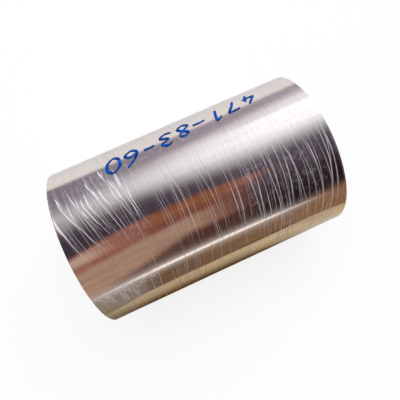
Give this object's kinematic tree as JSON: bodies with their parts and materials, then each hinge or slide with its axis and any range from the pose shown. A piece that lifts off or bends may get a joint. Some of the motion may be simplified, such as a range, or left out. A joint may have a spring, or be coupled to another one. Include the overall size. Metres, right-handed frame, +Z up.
{
  "type": "beryllium copper strip roll",
  "caption": "Roll of thin copper alloy strip with an open bore, lying on its side, bound in clear stretch film that folds in over both ends.",
  "frame": {"origin": "midway along the roll and below its axis, on the surface that the roll lies on", "axes": "+X along the roll's axis, +Z up"},
  "size_m": [0.201, 0.131, 0.131],
  "materials": {
    "beryllium_copper": "bright rolled strip, pale pinkish gold",
    "clear_film": "clear glossy stretch film, wrinkled"
  },
  "bodies": {
    "root": {"strip_roll": "beryllium_copper", "stretch_film": "clear_film"}
  },
  "joints": []
}
